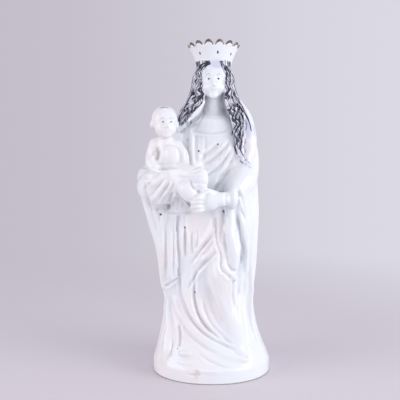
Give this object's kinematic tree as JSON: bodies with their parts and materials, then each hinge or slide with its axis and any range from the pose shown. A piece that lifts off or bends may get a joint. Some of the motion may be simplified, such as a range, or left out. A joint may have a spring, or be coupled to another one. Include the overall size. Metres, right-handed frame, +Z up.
{
  "type": "mother and child statue",
  "caption": "Standing crowned mother holding a seated child on her right arm, long draped gown and mantle, white tin-glazed pottery on a low oval mound, stands on its flat underside",
  "frame": {"origin": "middle of the flat underside of the oval mound, on the surface that the statue stands on", "axes": "+Z up along the figure, -Y is the way the mother faces, +X is her left hand side, which is the viewer's right from the front"},
  "size_m": [0.1849, 0.1568, 0.4518],
  "materials": {
    "glaze": "glossy white tin glaze with hand-painted dark violet hair, eyes and crown edge"
  },
  "bodies": {
    "root": {"mother_and_child": "glaze"}
  },
  "joints": []
}
